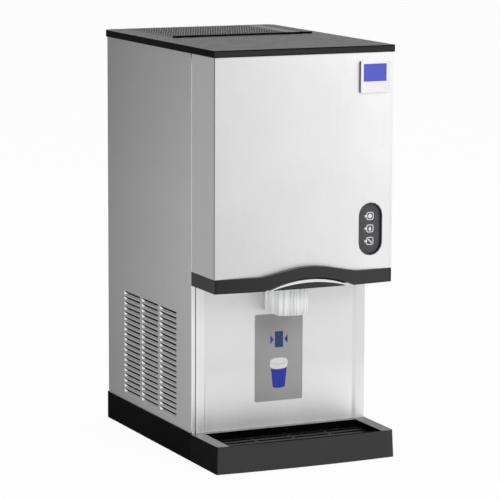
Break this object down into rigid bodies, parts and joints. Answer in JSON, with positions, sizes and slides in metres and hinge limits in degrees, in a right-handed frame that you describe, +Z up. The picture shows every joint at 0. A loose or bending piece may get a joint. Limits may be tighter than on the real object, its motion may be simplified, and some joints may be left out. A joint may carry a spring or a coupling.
{
  "type": "countertop ice dispenser",
  "caption": "Free-standing stainless countertop ice maker and dispenser: hood over a cup recess with drip tray, clear nozzle, louvred sides and lift-out intake grille.",
  "frame": {"origin": "centre of the bounding box's bottom, on the surface the feet stand on", "axes": "+Z up, -Y towards the user at the nozzle side, +X towards the user's right hand side"},
  "size_m": [0.419, 0.6474, 0.8925],
  "materials": {
    "aluminium": "mill finish",
    "badge_white": "smooth, bare",
    "black_plastic": "fine texture",
    "brass": "turned",
    "bright_steel": "polished",
    "cap_plastic": "fine texture",
    "clear_plastic": "frosted clear",
    "copper": "drawn copper, bare",
    "foam_white": "smooth moulded skin over foam",
    "front_steel": "satin, light",
    "galvanised": "zinc coated sheet",
    "grille_plastic": "satin",
    "label_grey": "printed film",
    "motor_black": "black enamel",
    "pod_grey": "satin",
    "sensor_blue": "dark infrared window",
    "silver_plastic": "silver lacquer",
    "steel": "satin, fine vertical grain",
    "tray_plastic": "fine texture",
    "trim_plastic": "satin",
    "white_plastic": "smooth"
  },
  "bodies": {
    "cabinet": {"accent_strip": "silver_plastic", "agitator_motor": "motor_black", "badge": "badge_white", "base_pan": "black_plastic", "bin_cradle": "galvanised", "bin_lid": "foam_white", "cabinet_frame": "galvanised", "capillary_line": "copper", "chassis_pan": "galvanised", "compressor": "motor_black", "condenser": "aluminium", "control_box": "galvanised", "control_overlay": "pod_grey", "control_pod": "pod_grey", "crescent_insert": "trim_plastic", "discharge_line": "copper", "dispense_chute": "white_plastic", "drain_hose": "clear_plastic", "drain_outlet": "brass", "drip_tray": "tray_plastic", "evaporator": "foam_white", "fan_motor": "motor_black", "fan_shroud": "galvanised", "filter_drier": "copper", "front_panel": "front_steel", "front_trim": "trim_plastic", "gate_solenoid": "motor_black", "gearmotor": "motor_black", "hood_floor": "galvanised", "ice_bin": "foam_white", "ice_head": "aluminium", "ice_tube": "clear_plastic", "left_hood_wing": "steel", "left_side_panel": "steel", "left_side_trim": "trim_plastic", "nozzle": "clear_plastic", "power_inlet": "black_plastic", "rear_panel": "galvanised", "right_hood_wing": "steel", "right_side_panel": "steel", "right_side_trim": "trim_plastic", "sensor_module": "black_plastic", "sensor_window": "sensor_blue", "splash_label": "label_grey", "splash_panel": "front_steel", "suction_line": "copper", "top_cover": "cap_plastic", "water_feed_line": "clear_plastic", "water_inlet": "brass", "water_reservoir": "white_plastic", "water_supply_line": "clear_plastic"},
    "drip_grille": {"drip_grille": "tray_plastic"},
    "intake_grille": {"intake_grille": "grille_plastic"},
    "gate": {"dispense_gate": "white_plastic"},
    "plunger": {"solenoid_plunger": "bright_steel"},
    "agitator": {"agitator": "white_plastic"},
    "auger": {"auger": "bright_steel"},
    "fan": {"fan_blade": "aluminium"},
    "float": {"reservoir_float": "white_plastic"},
    "switch": {"power_switch": "motor_black"}
  },
  "joints": [
    {"name": "drip_grille_lift", "type": "slide", "parent": "cabinet", "child": "drip_grille", "axis": [0, 0, 1], "range_m": [0, 0.06]},
    {"name": "intake_grille_lift", "type": "slide", "parent": "cabinet", "child": "intake_grille", "axis": [0, 0, 1], "range_m": [0, 0.05]},
    {"name": "gate_hinge", "type": "hinge", "parent": "cabinet", "child": "gate", "pos_m": [0, -0.18745, 0.4435], "axis": [1, 0, 0], "range_deg": [0, 75], "stiffness_Nm_per_rad": 0.02, "springref_deg": -20.05},
    {"name": "plunger_slide", "type": "slide", "parent": "cabinet", "child": "plunger", "axis": [0, 1, 0], "range_m": [0, 0.01461]},
    {"name": "agitator_spin", "type": "hinge", "parent": "cabinet", "child": "agitator", "pos_m": [0, -0.14795, 0.4675], "axis": [0, 0, 1], "continuous": true},
    {"name": "auger_spin", "type": "hinge", "parent": "cabinet", "child": "auger", "pos_m": [-0.095, 0.03705, 0.0873], "axis": [0, 0, 1], "continuous": true},
    {"name": "fan_spin", "type": "hinge", "parent": "cabinet", "child": "fan", "pos_m": [0.135, 0.06705, 0.165], "axis": [1, 0, 0], "continuous": true},
    {"name": "float_swing", "type": "hinge", "parent": "cabinet", "child": "float", "pos_m": [0.11, 0.17375, 0.524], "axis": [1, 0, 0], "range_deg": [0, 25]},
    {"name": "switch_rock", "type": "hinge", "parent": "cabinet", "child": "switch", "pos_m": [0.15, 0.00405, 0.765], "axis": [1, 0, 0], "range_deg": [0, 16]}
  ],
  "couplings": [
    {"joint": "plunger_slide", "follows": "gate_hinge", "m_per_rad": 0.01116}
  ]
}
